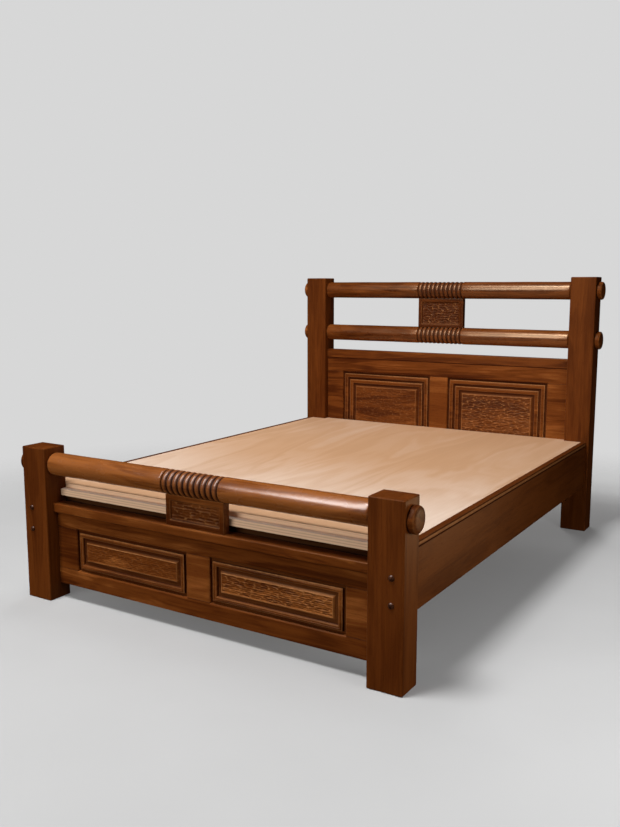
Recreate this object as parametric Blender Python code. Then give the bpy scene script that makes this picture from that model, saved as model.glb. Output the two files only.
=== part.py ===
"""A bed frame with turned round rails and framed panels, in metres, with +Z up.

The foot of the bed is at -Y and the head at +Y, and the show faces of both ends look towards -Y.
The origin is on the floor, under the middle of the bed.  Each piece is its own object, parented to
one empty.  Pieces that touch keep the gap FIT, and every mortise, bore and groove takes its size
from the piece that fits into it.
"""
import math

import bmesh
import bpy
from mathutils import Matrix

# Fit and facets
FIT = 0.0003                      # gap between pieces that touch
TURNED_SIDES = 20                 # facets round a turned piece
BOLT_SIDES = 10                   # facets round a bolt
BEAD_STEPS = 3                    # facets across one turned bead
ARC_STEPS = 3                     # facets in a rounded edge

# The whole bed
BED_WIDTH = 1.600                 # over the outer faces of the posts
BED_LENGTH = 2.130                # from the front of the foot posts to the back of the head posts

# Posts
POST_WIDTH = 0.120
POST_DEPTH = 0.100
FOOT_POST_RISE = 0.150            # foot posts above the deck
HEAD_POST_RISE = 0.790            # head posts above the deck
POST_EASE = 0.004                 # rounding of the posts' edges

# Round rails
ROUND_RAIL_DIAMETER = 0.086
ROUND_TENON_DIAMETER = 0.050      # the reduced end that passes through a post
ROUND_RAIL_SHOULDER = 0.010       # rounding where the rail meets a post
FOOT_RAIL_DROP = 0.064            # from the top of the foot posts to the rail's axis
HEAD_RAIL_DROP = 0.065            # from the top of the head posts to the upper rail's axis
HEAD_RAIL_SPACING = 0.235         # between the axes of the two head rails
BEAD_COUNT = 10
BEAD_PITCH = 0.024
BEAD_DEPTH = 0.006

# End knobs
KNOB_DIAMETER = 0.085
KNOB_LENGTH = 0.026
KNOB_ROUNDING = 0.009
KNOB_DOME = 0.002                 # rise of the end face
KNOB_SOCKET = 0.014               # depth of the socket over the tenon

# Carved blocks
BLOCK_WIDTH = 0.250
BLOCK_THICKNESS = 0.030
BLOCK_BORDER = 0.018
BLOCK_BEVEL = 0.004
BLOCK_RECESS = 0.005
BLOCK_TENON_WIDTH = 0.160
BLOCK_TENON_THICKNESS = 0.012
BLOCK_TENON_LENGTH = 0.012

# Framing of both ends
FRAME_THICKNESS = 0.032
FRAME_EASE = 0.0008
OPENING_ROUNDING = 0.008          # rounding of the frame's edges round each panel
STILE_WIDTH = 0.101
MUNTIN_WIDTH = 0.104
TENON_LENGTH = 0.030
TENON_THICKNESS = 0.012
TENON_SHOULDER = 0.012            # from a rail's edges to its tenon
GROOVE_DEPTH = 0.010              # for the panels and the stub tenons of the stiles

# Panels and mouldings
PANEL_THICKNESS = 0.010
FIELD_RISE = 0.007
FIELD_BEVEL = 0.008
QUIRK = 0.010                     # open groove beside each moulding
MOULDING_ROUNDING = 0.004
FOOT_MOULDING_WIDTH = 0.019
FOOT_MOULDING_THICKNESS = 0.011
HEAD_OUTER_MOULDING_WIDTH = 0.022
HEAD_OUTER_MOULDING_THICKNESS = 0.010
HEAD_INNER_MOULDING_WIDTH = 0.022
HEAD_INNER_MOULDING_THICKNESS = 0.0085

# Footboard
FOOT_FRAME_SETBACK = 0.052        # frame face behind the front of the foot posts
FOOT_FRAME_BASE = 0.060           # height of the bottom rail's lower edge
FOOT_BOTTOM_RAIL_WIDTH = 0.063
FOOT_TOP_RAIL_WIDTH = 0.058
FOOT_CAP_HEIGHT = 0.035
FOOT_CAP_DEPTH = 0.060
FOOT_CAP_OVERHANG = 0.018         # in front of the frame face
FOOT_CAP_ROUNDING = 0.005
FOOT_CAP_CLEARANCE = 0.024        # under the deck

# Headboard
HEAD_FRAME_SETBACK = 0.030        # frame face behind the front of the head posts
HEAD_BOTTOM_RAIL_WIDTH = 0.105
HEAD_TOP_RAIL_WIDTH = 0.076
HEAD_CAP_HEIGHT = 0.047
HEAD_CAP_DEPTH = 0.038
HEAD_CAP_OVERHANG = 0.003         # in front of the frame face
HEAD_CAP_ROUNDING = 0.003
HEAD_CAP_CLEARANCE = 0.052        # under the lower round rail

# Side rails
SIDE_RAIL_INSET = 0.015           # outer face inside the posts' outer faces
SIDE_RAIL_THICKNESS = 0.050
SIDE_RAIL_HEIGHT = 0.215
SIDE_RAIL_TENON_LENGTH = 0.018
SIDE_RAIL_TENON_THICKNESS = 0.022
SIDE_RAIL_TENON_SHOULDER = 0.030
REED_DROP = 0.004                 # from the top edge to the reed
REED_WIDTH = 0.015
REED_DEPTH = 0.003
REED_FLANK = 0.0015               # slope from a reed's quirk up to the face

# Mattress deck
DECK_HEIGHT = 0.440               # top of the deck and of the side rails
DECK_BOARD_THICKNESS = 0.015
DECK_BASE_THICKNESS = 0.025
DECK_REBATE = 0.027               # how far the board laps onto each side rail
DECK_FOOT_LAP = 0.027             # how far the base reaches between the foot posts

# Supports under the deck
BEARER_COUNT = 4
BEARER_WIDTH = 0.045
BEARER_HEIGHT = 0.070
LEDGER_THICKNESS = 0.030
LEDGER_HEIGHT = 0.040

# Bed bolts and nut plates
BOLT_DIAMETER = 0.010
BOLT_HEAD_DIAMETER = 0.021
BOLT_HEAD_HEIGHT = 0.006
BOLT_RISE = 0.048                 # lower bolts above the side rails' bottom edges
BOLT_SPACING = 0.083
BOLT_TAIL = 0.012                 # bolt beyond its nut plate
NUT_PLATE_THICKNESS = 0.008
NUT_PLATE_WIDTH = 0.030
NUT_PLATE_MARGIN = 0.020          # plate beyond the bolts' axes
NUT_PLATE_DEPTH = 0.045           # from the rail's end to the plate

# Places that follow from the sizes above
HALF_WIDTH = BED_WIDTH / 2
HALF_LENGTH = BED_LENGTH / 2
INNER_HALF = HALF_WIDTH - POST_WIDTH
POST_X = HALF_WIDTH - POST_WIDTH / 2
FOOT_POST_Y = -HALF_LENGTH + POST_DEPTH / 2
HEAD_POST_Y = HALF_LENGTH - POST_DEPTH / 2
FOOT_INNER_Y = -HALF_LENGTH + POST_DEPTH
HEAD_INNER_Y = HALF_LENGTH - POST_DEPTH
FOOT_POST_HEIGHT = DECK_HEIGHT + FOOT_POST_RISE
HEAD_POST_HEIGHT = DECK_HEIGHT + HEAD_POST_RISE
ROUND_RAIL_RADIUS = ROUND_RAIL_DIAMETER / 2
ROUND_TENON_RADIUS = ROUND_TENON_DIAMETER / 2
FOOT_RAIL_HEIGHT = FOOT_POST_HEIGHT - FOOT_RAIL_DROP
HEAD_HIGH_RAIL_HEIGHT = HEAD_POST_HEIGHT - HEAD_RAIL_DROP
HEAD_LOW_RAIL_HEIGHT = HEAD_HIGH_RAIL_HEIGHT - HEAD_RAIL_SPACING
FOOT_FRAME_FACE = -HALF_LENGTH + FOOT_FRAME_SETBACK
HEAD_FRAME_FACE = HEAD_INNER_Y + HEAD_FRAME_SETBACK
SIDE_RAIL_X = HALF_WIDTH - SIDE_RAIL_INSET - SIDE_RAIL_THICKNESS / 2
SIDE_RAIL_INNER_X = SIDE_RAIL_X - SIDE_RAIL_THICKNESS / 2
DECK_BASE_TOP = DECK_HEIGHT - DECK_BOARD_THICKNESS - FIT
BEARER_TOP = DECK_BASE_TOP - DECK_BASE_THICKNESS - FIT
LEDGER_TOP = BEARER_TOP - BEARER_HEIGHT - FIT
SIDE_RAIL_BOTTOM = DECK_HEIGHT - SIDE_RAIL_HEIGHT
FOOT_FRAME_TOP = BEARER_TOP - FOOT_CAP_CLEARANCE - FOOT_CAP_HEIGHT - FIT
HEAD_FRAME_BASE = SIDE_RAIL_BOTTOM
HEAD_FRAME_TOP = HEAD_LOW_RAIL_HEIGHT - ROUND_RAIL_RADIUS - HEAD_CAP_CLEARANCE - HEAD_CAP_HEIGHT - FIT
BOLT_X = SIDE_RAIL_X
BOLT_LOW_HEIGHT = SIDE_RAIL_BOTTOM + BOLT_RISE
BOLT_HIGH_HEIGHT = BOLT_LOW_HEIGHT + BOLT_SPACING
BOLT_RADIUS = BOLT_DIAMETER / 2
BOLT_REACH = NUT_PLATE_DEPTH + NUT_PLATE_THICKNESS + BOLT_TAIL

SIDES = {"left": -1, "right": 1}
QUARTER_TURN = math.pi / 2
ROOT = 0.004                      # how far an added tenon is sunk into its own piece


def clear_scene():
    for old in list(bpy.data.objects):
        bpy.data.objects.remove(old)


def finish(name, colour, roughness, metallic):
    """A Principled material."""
    material = bpy.data.materials.new(name)
    material.use_nodes = True
    shader = material.node_tree.nodes["Principled BSDF"]
    shader.inputs["Base Color"].default_value = (*colour, 1.0)
    shader.inputs["Roughness"].default_value = roughness
    shader.inputs["Metallic"].default_value = metallic
    return material


def place(name, form, material, location, turn=0.0, smooth=False):
    """Make a named object of the bed from a bmesh, turned about Z and set at its location."""
    bmesh.ops.recalc_face_normals(form, faces=form.faces)
    mesh = bpy.data.meshes.new(name)
    form.to_mesh(mesh)
    form.free()
    if smooth:
        mesh.shade_smooth()
        mesh.set_sharp_from_angle(angle=math.radians(40))
    mesh.materials.append(material)
    piece = bpy.data.objects.new(name, mesh)
    piece.location = location
    piece.rotation_euler.z = turn
    piece.parent = bpy.data.objects["bed_frame"]
    bpy.context.collection.objects.link(piece)
    return piece


def block_form(size, ease=0.0, steps=1):
    """A block centred on its origin, with its edges eased."""
    form = bmesh.new()
    bmesh.ops.create_cube(form, size=1.0, matrix=Matrix.Diagonal((*size, 1.0)))
    if ease:
        bmesh.ops.bevel(form, geom=form.edges[:], offset=ease, segments=steps, profile=0.5,
                        affect="EDGES")
    return form


def front_face(form):
    """The face of a block that looks towards the foot of the bed."""
    return min(form.faces, key=lambda face: face.calc_center_median().y)


def inset(form, face, width, rise):
    """Inset a face evenly, and raise or sink what is left of it."""
    bmesh.ops.inset_region(form, faces=[face], thickness=width, depth=rise, use_even_offset=True)


def prism_form(outline, length, axis):
    """An outline drawn across an axis, extruded along it and centred on it."""
    corner = {"X": lambda u, v: (-length / 2, u, v),
              "Y": lambda u, v: (u, -length / 2, v),
              "Z": lambda u, v: (u, v, -length / 2)}[axis]
    travel = {"X": (length, 0, 0), "Y": (0, length, 0), "Z": (0, 0, length)}[axis]
    form = bmesh.new()
    face = form.faces.new([form.verts.new(corner(u, v)) for u, v in outline])
    extruded = bmesh.ops.extrude_face_region(form, geom=[face])["geom"]
    moved = [item for item in extruded if isinstance(item, bmesh.types.BMVert)]
    bmesh.ops.translate(form, verts=moved, vec=travel)
    return form


def turned_form(profile, sides):
    """A profile of (distance along X, radius) turned round the X axis, with closed ends."""
    form = bmesh.new()
    points = [form.verts.new((x, radius, 0)) for x, radius in profile]
    edges = [form.edges.new(pair) for pair in zip(points, points[1:])]
    bmesh.ops.spin(form, geom=points + edges, axis=(1, 0, 0), cent=(0, 0, 0), angle=math.tau,
                   steps=sides, use_merge=True)
    rims = [edge for edge in form.edges if edge.is_boundary]
    bmesh.ops.holes_fill(form, edges=rims, sides=sides)
    return form


def mitred_form(width, height, profile, ring):
    """A profile of (inset, rise) carried round a rectangle: a ring, or a block with closed ends."""
    form = bmesh.new()
    loops = []
    for inward, rise in profile:
        u = width / 2 - inward
        v = height / 2 - inward
        loops.append([form.verts.new((a, -rise, b)) for a, b in ((-u, -v), (u, -v), (u, v), (-u, v))])
    followers = loops[1:] + loops[:1] if ring else loops[1:]
    for loop, following in zip(loops, followers):
        for corner, start in enumerate(loop):
            form.faces.new((loop[corner - 1], start, following[corner], following[corner - 1]))
    if not ring:
        form.faces.new(loops[0])
        form.faces.new(loops[-1])
    return form


def arc(centre, radius, start, end, steps=ARC_STEPS):
    """Points on an arc, with angles in degrees."""
    angles = [math.radians(start + (end - start) * step / steps) for step in range(steps + 1)]
    return [(centre[0] + radius * math.cos(a), centre[1] + radius * math.sin(a)) for a in angles]


def boolean(piece, tool, operation):
    """Cut a piece with a tool, or join them, and remove the tool."""
    modifier = piece.modifiers.new("joinery", "BOOLEAN")
    modifier.object = tool
    modifier.operation = operation
    modifier.solver = "EXACT"
    graph = bpy.context.evaluated_depsgraph_get()
    piece.data = bpy.data.meshes.new_from_object(piece.evaluated_get(graph))
    piece.modifiers.clear()
    bpy.data.objects.remove(tool)


def box_tool(piece, low, high):
    size = [b - a for a, b in zip(low, high)]
    centre = [(a + b) / 2 for a, b in zip(low, high)]
    return place("tool", block_form(size), piece.data.materials[0], centre)


def add_box(piece, low, high):
    boolean(piece, box_tool(piece, low, high), "UNION")


def cut_fit(piece, low, high):
    """Cut the room for a box-shaped tenon, tongue or plate, with clearance on every side."""
    grown = box_tool(piece, [a - FIT for a in low], [b + FIT for b in high])
    boolean(piece, grown, "DIFFERENCE")


def bore(piece, start, stop, radius, sides):
    """Bore a round hole from one point to another, along X or along Y."""
    along_x = start[0] != stop[0]
    length = abs(stop[0] - start[0]) if along_x else abs(stop[1] - start[1])
    centre = [(a + b) / 2 for a, b in zip(start, stop)]
    form = turned_form([(-length / 2, radius), (length / 2, radius)], sides)
    turn = 0.0 if along_x else QUARTER_TURN
    boolean(piece, place("tool", form, piece.data.materials[0], centre, turn), "DIFFERENCE")


def span(side, start, end):
    """Two distances from the middle of the bed, on one side of it, in rising order."""
    return sorted((side * start, side * end))


def post(end, word, y, height):
    size = (POST_WIDTH, POST_DEPTH, height)
    x = SIDES[word] * POST_X
    return place(f"{end}_post_{word}", block_form(size, POST_EASE, 2), STAINED, (x, y, height / 2))


def round_rail(name, y, height, posts):
    """A turned rail with beads at its middle, whose tenons pass through both posts into knobs."""
    shoulder = INNER_HALF - FIT
    bead_end = BEAD_COUNT * BEAD_PITCH / 2
    valley = ROUND_RAIL_RADIUS - BEAD_DEPTH
    beads = []
    for step in range(BEAD_COUNT * BEAD_STEPS + 1):
        swell = abs(math.sin(math.pi * step / BEAD_STEPS))
        beads.append((-bead_end + step * BEAD_PITCH / BEAD_STEPS, valley + BEAD_DEPTH * swell))
    rounding = arc((ROUND_RAIL_SHOULDER - shoulder, ROUND_RAIL_RADIUS - ROUND_RAIL_SHOULDER),
                   ROUND_RAIL_SHOULDER, 180, 90)
    left = [(-HALF_WIDTH - KNOB_SOCKET, ROUND_TENON_RADIUS), (-shoulder, ROUND_TENON_RADIUS), *rounding,
            (-bead_end - BEAD_DEPTH, ROUND_RAIL_RADIUS)]
    right = [(-x, radius) for x, radius in reversed(left)]
    form = turned_form(left + beads + right, TURNED_SIDES)
    place(f"{name}_round_rail", form, STAINED, (0, y, height), smooth=True)
    for word, side in SIDES.items():
        start = (side * (INNER_HALF - ROOT), y, height)
        stop = (side * (HALF_WIDTH + ROOT), y, height)
        bore(posts[side], start, stop, ROUND_TENON_RADIUS + FIT, TURNED_SIDES)
        knob(f"{name}_knob_{word}", side, y, height)


def knob(name, side, y, height):
    """A turned knob over a tenon's end, on the outer face of a post."""
    radius = KNOB_DIAMETER / 2
    socket = ROUND_TENON_RADIUS + FIT
    rim = KNOB_LENGTH - KNOB_DOME
    heel = KNOB_ROUNDING / 2
    profile = [(KNOB_LENGTH, radius / 2),
               *arc((rim - KNOB_ROUNDING, radius - KNOB_ROUNDING), KNOB_ROUNDING, 0, 90),
               *arc((heel, radius - heel), heel, 90, 180),
               (0, socket), (KNOB_SOCKET, socket)]
    turn = 0.0 if side > 0 else math.pi
    location = (side * (HALF_WIDTH + FIT), y, height)
    place(name, turned_form(profile, TURNED_SIDES), STAINED, location, turn, smooth=True)


def carved_block(name, y, bottom, top):
    """A block with a raised border round its field, on the face that looks towards the foot."""
    form = block_form((BLOCK_WIDTH, BLOCK_THICKNESS, top - bottom))
    front = front_face(form)
    inset(form, front, BLOCK_BORDER, 0)
    inset(form, front, BLOCK_BEVEL, -BLOCK_RECESS)
    return place(name, form, STAINED, (0, y, (bottom + top) / 2))


def cope(block, y, height):
    """Hollow the end of a block to fit against a round rail."""
    start = (-BLOCK_WIDTH, y, height)
    stop = (BLOCK_WIDTH, y, height)
    bore(block, start, stop, ROUND_RAIL_RADIUS + FIT, TURNED_SIDES)


def cope_reach(offset):
    """How far a block's corner stays from a round rail's axis, at an offset across that axis."""
    return math.sqrt(max((ROUND_RAIL_RADIUS + FIT) ** 2 - offset ** 2, 0))


def tenoned_rail(name, form, y, low, high, posts):
    """A rail between two posts, with a tenon and a mortise at each end."""
    rail = place(name, form, STAINED, (0, y, (low + high) / 2))
    for side in SIDES.values():
        start, end = span(side, INNER_HALF - ROOT, INNER_HALF + TENON_LENGTH)
        corner = (start, y - TENON_THICKNESS / 2, low + TENON_SHOULDER)
        opposite = (end, y + TENON_THICKNESS / 2, high - TENON_SHOULDER)
        add_box(rail, corner, opposite)
        cut_fit(posts[side], corner, opposite)
    return rail


def frame_rail(name, y, low, high, groove, posts):
    """A rail of a frame, with a groove along the edge that faces the panels."""
    form = block_form((2 * (INNER_HALF - FIT), FRAME_THICKNESS, high - low), FRAME_EASE)
    rail = tenoned_rail(name, form, y, low, high, posts)
    half = PANEL_THICKNESS / 2
    cut_fit(rail, (-HALF_WIDTH, y - half, groove[0]), (HALF_WIDTH, y + half, groove[1]))
    return rail


def frame_upright(name, x, y, width, low, high, grooved_sides):
    """A stile or muntin with stub tenons for the rails' grooves, and grooves for the panels."""
    form = block_form((width, FRAME_THICKNESS, high - low - 2 * FIT), FRAME_EASE)
    upright = place(name, form, STAINED, (x, y, (low + high) / 2))
    half = PANEL_THICKNESS / 2
    reach = width / 2 - FRAME_EASE
    for start, end in ((low - GROOVE_DEPTH, low + ROOT), (high - ROOT, high + GROOVE_DEPTH)):
        add_box(upright, (x - reach, y - half, start), (x + reach, y + half, end))
    for side in grooved_sides:
        floor, mouth = sorted((x + side * (width / 2 - GROOVE_DEPTH), x + side * (width / 2 + ROOT)))
        below = low - 2 * GROOVE_DEPTH
        above = high + 2 * GROOVE_DEPTH
        cut_fit(upright, (floor, y - half, below), (mouth, y + half, above))
    return upright


def panel(name, x, y, width, low, high, margin):
    """A panel held in the frame's grooves, with a raised field inside a margin."""
    lap = GROOVE_DEPTH - FIT
    form = block_form((width + 2 * lap, PANEL_THICKNESS, high - low + 2 * lap))
    front = front_face(form)
    inset(form, front, lap + margin, 0)
    inset(form, front, FIELD_BEVEL, FIELD_RISE)
    place(name, form, STAINED, (x, y, (low + high) / 2))


def moulding(name, x, back, width, low, high, band, thickness):
    """A mitred moulding frame with rounded edges, planted on a panel."""
    e = MOULDING_ROUNDING
    profile = [(0, 0), *arc((e, thickness - e), e, 180, 90), *arc((band - e, thickness - e), e, 90, 0),
               (band, 0)]
    form = mitred_form(width, high - low, profile, ring=True)
    place(name, form, STAINED, (x, back - FIT, (low + high) / 2))


def round_opening(members, x, face, width, low, high):
    """Round the front edges of a frame's members round one opening."""
    centre = FIT - OPENING_ROUNDING
    edge = arc((centre, centre), OPENING_ROUNDING, 90, 0)
    profile = [(edge[0][0], ROOT), *edge]
    for member in members:
        form = mitred_form(width, high - low, profile, ring=False)
        tool = place("tool", form, STAINED, (x, face, (low + high) / 2))
        boolean(member, tool, "DIFFERENCE")


def framed_end(end, face, base, bottom_width, top, top_width, mouldings, posts):
    """Two rails, two stiles and a muntin round two panels, with mouldings planted on the panels.

    The mouldings are given from the frame inwards, as (word, band, thickness).
    """
    y = face + FRAME_THICKNESS / 2
    low = base + bottom_width
    high = top - top_width
    bottom_rail = frame_rail(f"{end}_bottom_rail", y, base, low, (low - GROOVE_DEPTH, low + ROOT), posts)
    top_rail = frame_rail(f"{end}_top_rail", y, high, top, (high - ROOT, high + GROOVE_DEPTH), posts)
    muntin = frame_upright(f"{end}_muntin", 0, y, MUNTIN_WIDTH, low, high, (-1, 1))
    inner = MUNTIN_WIDTH / 2
    outer = INNER_HALF - FIT - STILE_WIDTH
    width = outer - inner
    margin = QUIRK + sum(band + QUIRK for _, band, _ in mouldings)
    for word, side in SIDES.items():
        stile_x = side * (outer + STILE_WIDTH / 2)
        stile = frame_upright(f"{end}_stile_{word}", stile_x, y, STILE_WIDTH, low, high, (-side,))
        x = side * (inner + outer) / 2
        round_opening((bottom_rail, top_rail, muntin, stile), x, face, width, low, high)
        panel(f"{end}_panel_{word}", x, y, width, low, high, margin)
        reach = QUIRK
        for kind, band, thickness in mouldings:
            moulding(f"{end}_{kind}_{word}", x, y - PANEL_THICKNESS / 2, width - 2 * reach,
                     low + reach, high - reach, band, thickness)
            reach += band + QUIRK


def cap(name, front, bottom, depth, height, rounding, posts):
    """A cap along the top of a frame, with rounded edges."""
    u = depth / 2
    v = height / 2
    corners = ((1, 1, 0), (-1, 1, 90), (-1, -1, 180), (1, -1, 270))
    outline = []
    for a, b, start in corners:
        centre = (a * (u - rounding), b * (v - rounding))
        outline += arc(centre, rounding, start, start + 90)
    form = prism_form(outline, 2 * (INNER_HALF - FIT), "X")
    return tenoned_rail(name, form, front + u, bottom + FIT, bottom + FIT + height, posts)


def side_rail(word, foot_posts, head_posts):
    """A side rail with a reed along its outer top edge and a rebate for the deck inside it."""
    side = SIDES[word]
    half = SIDE_RAIL_THICKNESS / 2
    bottom = SIDE_RAIL_BOTTOM
    quirk = half - REED_DEPTH
    reed_top = DECK_HEIGHT - REED_DROP
    reed_bottom = reed_top - REED_WIDTH
    rebate = DECK_REBATE + FIT - half
    reed = []
    for step in range(BEAD_STEPS + 2):
        swing = math.pi * step / (BEAD_STEPS + 1)
        rise = (1 - math.cos(swing)) / 2
        reed.append((quirk + REED_DEPTH * math.sin(swing), reed_bottom + REED_WIDTH * rise))
    outline = [(-half, bottom), (half, bottom), (half, reed_bottom - REED_FLANK), *reed,
               (half, reed_top + REED_FLANK), (half - REED_FLANK, DECK_HEIGHT),
               (rebate, DECK_HEIGHT), (rebate, DECK_BASE_TOP), (-half, DECK_BASE_TOP)]
    length = HEAD_INNER_Y - FOOT_INNER_Y - 2 * FIT
    form = prism_form([(side * u, v) for u, v in outline], length, "Y")
    rail = place(f"side_rail_{word}", form, STAINED, (side * SIDE_RAIL_X, 0, 0))
    low = bottom + SIDE_RAIL_TENON_SHOULDER
    high = DECK_BASE_TOP - SIDE_RAIL_TENON_SHOULDER
    x = side * SIDE_RAIL_X
    tenon_half = SIDE_RAIL_TENON_THICKNESS / 2
    ends = ((-1, FOOT_INNER_Y, foot_posts[side]), (1, HEAD_INNER_Y, head_posts[side]))
    for direction, seat, carrier in ends:
        start, end = sorted((seat - direction * ROOT, seat + direction * SIDE_RAIL_TENON_LENGTH))
        corner = (x - tenon_half, start, low)
        opposite = (x + tenon_half, end, high)
        add_box(rail, corner, opposite)
        cut_fit(carrier, corner, opposite)
    return rail


def bolted_joint(end, word, direction, seat, rail, carrier):
    """Two bolts through a post into a nut plate that is let into the side rail's inner face."""
    side = SIDES[word]
    x = side * BOLT_X
    outside = seat + direction * POST_DEPTH
    plate_near = seat - direction * NUT_PLATE_DEPTH
    plate_y = plate_near - direction * NUT_PLATE_THICKNESS / 2
    plate_low = BOLT_LOW_HEIGHT - NUT_PLATE_MARGIN
    plate_high = BOLT_HIGH_HEIGHT + NUT_PLATE_MARGIN
    size = (NUT_PLATE_WIDTH, NUT_PLATE_THICKNESS, plate_high - plate_low)
    centre = (x, plate_y, (plate_low + plate_high) / 2)
    plate = place(f"nut_plate_{end}_{word}", block_form(size), STEEL, centre)
    near, far = span(side, SIDE_RAIL_INNER_X - ROOT, BOLT_X + NUT_PLATE_WIDTH / 2)
    cut_fit(rail, (near, plate_y - NUT_PLATE_THICKNESS / 2, plate_low),
            (far, plate_y + NUT_PLATE_THICKNESS / 2, plate_high))
    head_radius = BOLT_HEAD_DIAMETER / 2
    shank = POST_DEPTH + BOLT_REACH
    dome = [(BOLT_HEAD_HEIGHT * rise, head_radius * out) for out, rise in arc((0, 0), 1, 0, 60)]
    profile = [(-shank, BOLT_RADIUS), (0, BOLT_RADIUS), *dome]
    for level, height in (("low", BOLT_LOW_HEIGHT), ("high", BOLT_HIGH_HEIGHT)):
        start = (x, outside + direction * ROOT, height)
        stop = (x, seat - direction * (BOLT_REACH + FIT), height)
        for holed in (carrier, rail, plate):
            bore(holed, start, stop, BOLT_RADIUS + FIT, BOLT_SIDES)
        location = (x, outside + direction * FIT, height)
        form = turned_form(profile, BOLT_SIDES)
        place(f"bolt_{end}_{word}_{level}", form, STEEL, location, direction * QUARTER_TURN, smooth=True)


def notched_board(name, half_width, foot_reach, head_reach, top, thickness):
    """A sheet between the posts' inner faces that reaches between the posts at its ends."""
    start = FOOT_INNER_Y + FIT
    end = HEAD_INNER_Y - FIT
    between = INNER_HALF - FIT
    right = [(half_width, start), (half_width, end), (between, end), (between, end + head_reach)]
    if foot_reach:
        right = [(between, start - foot_reach), (between, start)] + right
    outline = right + [(-x, y) for x, y in reversed(right)]
    place(name, prism_form(outline, thickness, "Z"), PLYWOOD, (0, 0, top - thickness / 2))


def deck():
    """The mattress board, its base, and the bearers and ledgers that carry them."""
    notched_board("deck_board", SIDE_RAIL_INNER_X + DECK_REBATE, 0, HEAD_FRAME_SETBACK, DECK_HEIGHT,
                  DECK_BOARD_THICKNESS)
    notched_board("deck_base", SIDE_RAIL_INNER_X - FIT, DECK_FOOT_LAP, HEAD_FRAME_SETBACK, DECK_BASE_TOP,
                  DECK_BASE_THICKNESS)
    first = FOOT_INNER_Y + FIT + BEARER_WIDTH / 2
    last = HEAD_INNER_Y - FIT - BEARER_WIDTH / 2
    for number in range(BEARER_COUNT):
        form = block_form((2 * (SIDE_RAIL_INNER_X - FIT), BEARER_WIDTH, BEARER_HEIGHT), FRAME_EASE)
        y = first + (last - first) * number / (BEARER_COUNT - 1)
        place(f"bearer_{number + 1}", form, SOFTWOOD, (0, y, BEARER_TOP - BEARER_HEIGHT / 2))
    for word, side in SIDES.items():
        length = HEAD_INNER_Y - FOOT_INNER_Y - 2 * FIT
        form = block_form((LEDGER_THICKNESS, length, LEDGER_HEIGHT), FRAME_EASE)
        x = side * (SIDE_RAIL_INNER_X - FIT - LEDGER_THICKNESS / 2)
        place(f"ledger_{word}", form, SOFTWOOD, (x, 0, LEDGER_TOP - LEDGER_HEIGHT / 2))


def footboard(posts):
    framed_end("foot", FOOT_FRAME_FACE, FOOT_FRAME_BASE, FOOT_BOTTOM_RAIL_WIDTH, FOOT_FRAME_TOP,
               FOOT_TOP_RAIL_WIDTH, [("moulding", FOOT_MOULDING_WIDTH, FOOT_MOULDING_THICKNESS)], posts)
    front = FOOT_FRAME_FACE - FOOT_CAP_OVERHANG
    foot_cap = cap("foot_cap", front, FOOT_FRAME_TOP, FOOT_CAP_DEPTH, FOOT_CAP_HEIGHT, FOOT_CAP_ROUNDING,
                   posts)
    round_rail("foot", FOOT_POST_Y, FOOT_RAIL_HEIGHT, posts)
    block_front = front + FOOT_CAP_ROUNDING
    block_y = block_front + BLOCK_THICKNESS / 2
    seat = FOOT_FRAME_TOP + FIT + FOOT_CAP_HEIGHT
    widest = abs(block_y - FOOT_POST_Y) + BLOCK_THICKNESS / 2
    block = carved_block("foot_block", block_y, seat + FIT, FOOT_RAIL_HEIGHT - cope_reach(widest))
    cope(block, FOOT_POST_Y, FOOT_RAIL_HEIGHT)
    corner = (-BLOCK_TENON_WIDTH / 2, block_y - BLOCK_TENON_THICKNESS / 2, seat - BLOCK_TENON_LENGTH)
    opposite = (BLOCK_TENON_WIDTH / 2, block_y + BLOCK_TENON_THICKNESS / 2, seat + ROOT)
    add_box(block, corner, opposite)
    cut_fit(foot_cap, corner, opposite)


def headboard(posts):
    mouldings = [("outer_moulding", HEAD_OUTER_MOULDING_WIDTH, HEAD_OUTER_MOULDING_THICKNESS),
                 ("inner_moulding", HEAD_INNER_MOULDING_WIDTH, HEAD_INNER_MOULDING_THICKNESS)]
    framed_end("head", HEAD_FRAME_FACE, HEAD_FRAME_BASE, HEAD_BOTTOM_RAIL_WIDTH, HEAD_FRAME_TOP,
               HEAD_TOP_RAIL_WIDTH, mouldings, posts)
    front = HEAD_FRAME_FACE - HEAD_CAP_OVERHANG
    cap("head_cap", front, HEAD_FRAME_TOP, HEAD_CAP_DEPTH, HEAD_CAP_HEIGHT, HEAD_CAP_ROUNDING, posts)
    round_rail("head_lower", HEAD_POST_Y, HEAD_LOW_RAIL_HEIGHT, posts)
    round_rail("head_upper", HEAD_POST_Y, HEAD_HIGH_RAIL_HEIGHT, posts)
    reach = cope_reach(BLOCK_THICKNESS / 2)
    bottom = HEAD_LOW_RAIL_HEIGHT + reach
    block = carved_block("head_block", HEAD_POST_Y, bottom, HEAD_HIGH_RAIL_HEIGHT - reach)
    cope(block, HEAD_POST_Y, HEAD_LOW_RAIL_HEIGHT)
    cope(block, HEAD_POST_Y, HEAD_HIGH_RAIL_HEIGHT)


def bed_frame():
    foot_posts = {}
    head_posts = {}
    for word, side in SIDES.items():
        foot_posts[side] = post("foot", word, FOOT_POST_Y, FOOT_POST_HEIGHT)
        head_posts[side] = post("head", word, HEAD_POST_Y, HEAD_POST_HEIGHT)
    footboard(foot_posts)
    headboard(head_posts)
    for word, side in SIDES.items():
        rail = side_rail(word, foot_posts, head_posts)
        bolted_joint("foot", word, -1, FOOT_INNER_Y, rail, foot_posts[side])
        bolted_joint("head", word, 1, HEAD_INNER_Y, rail, head_posts[side])
    deck()


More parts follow.
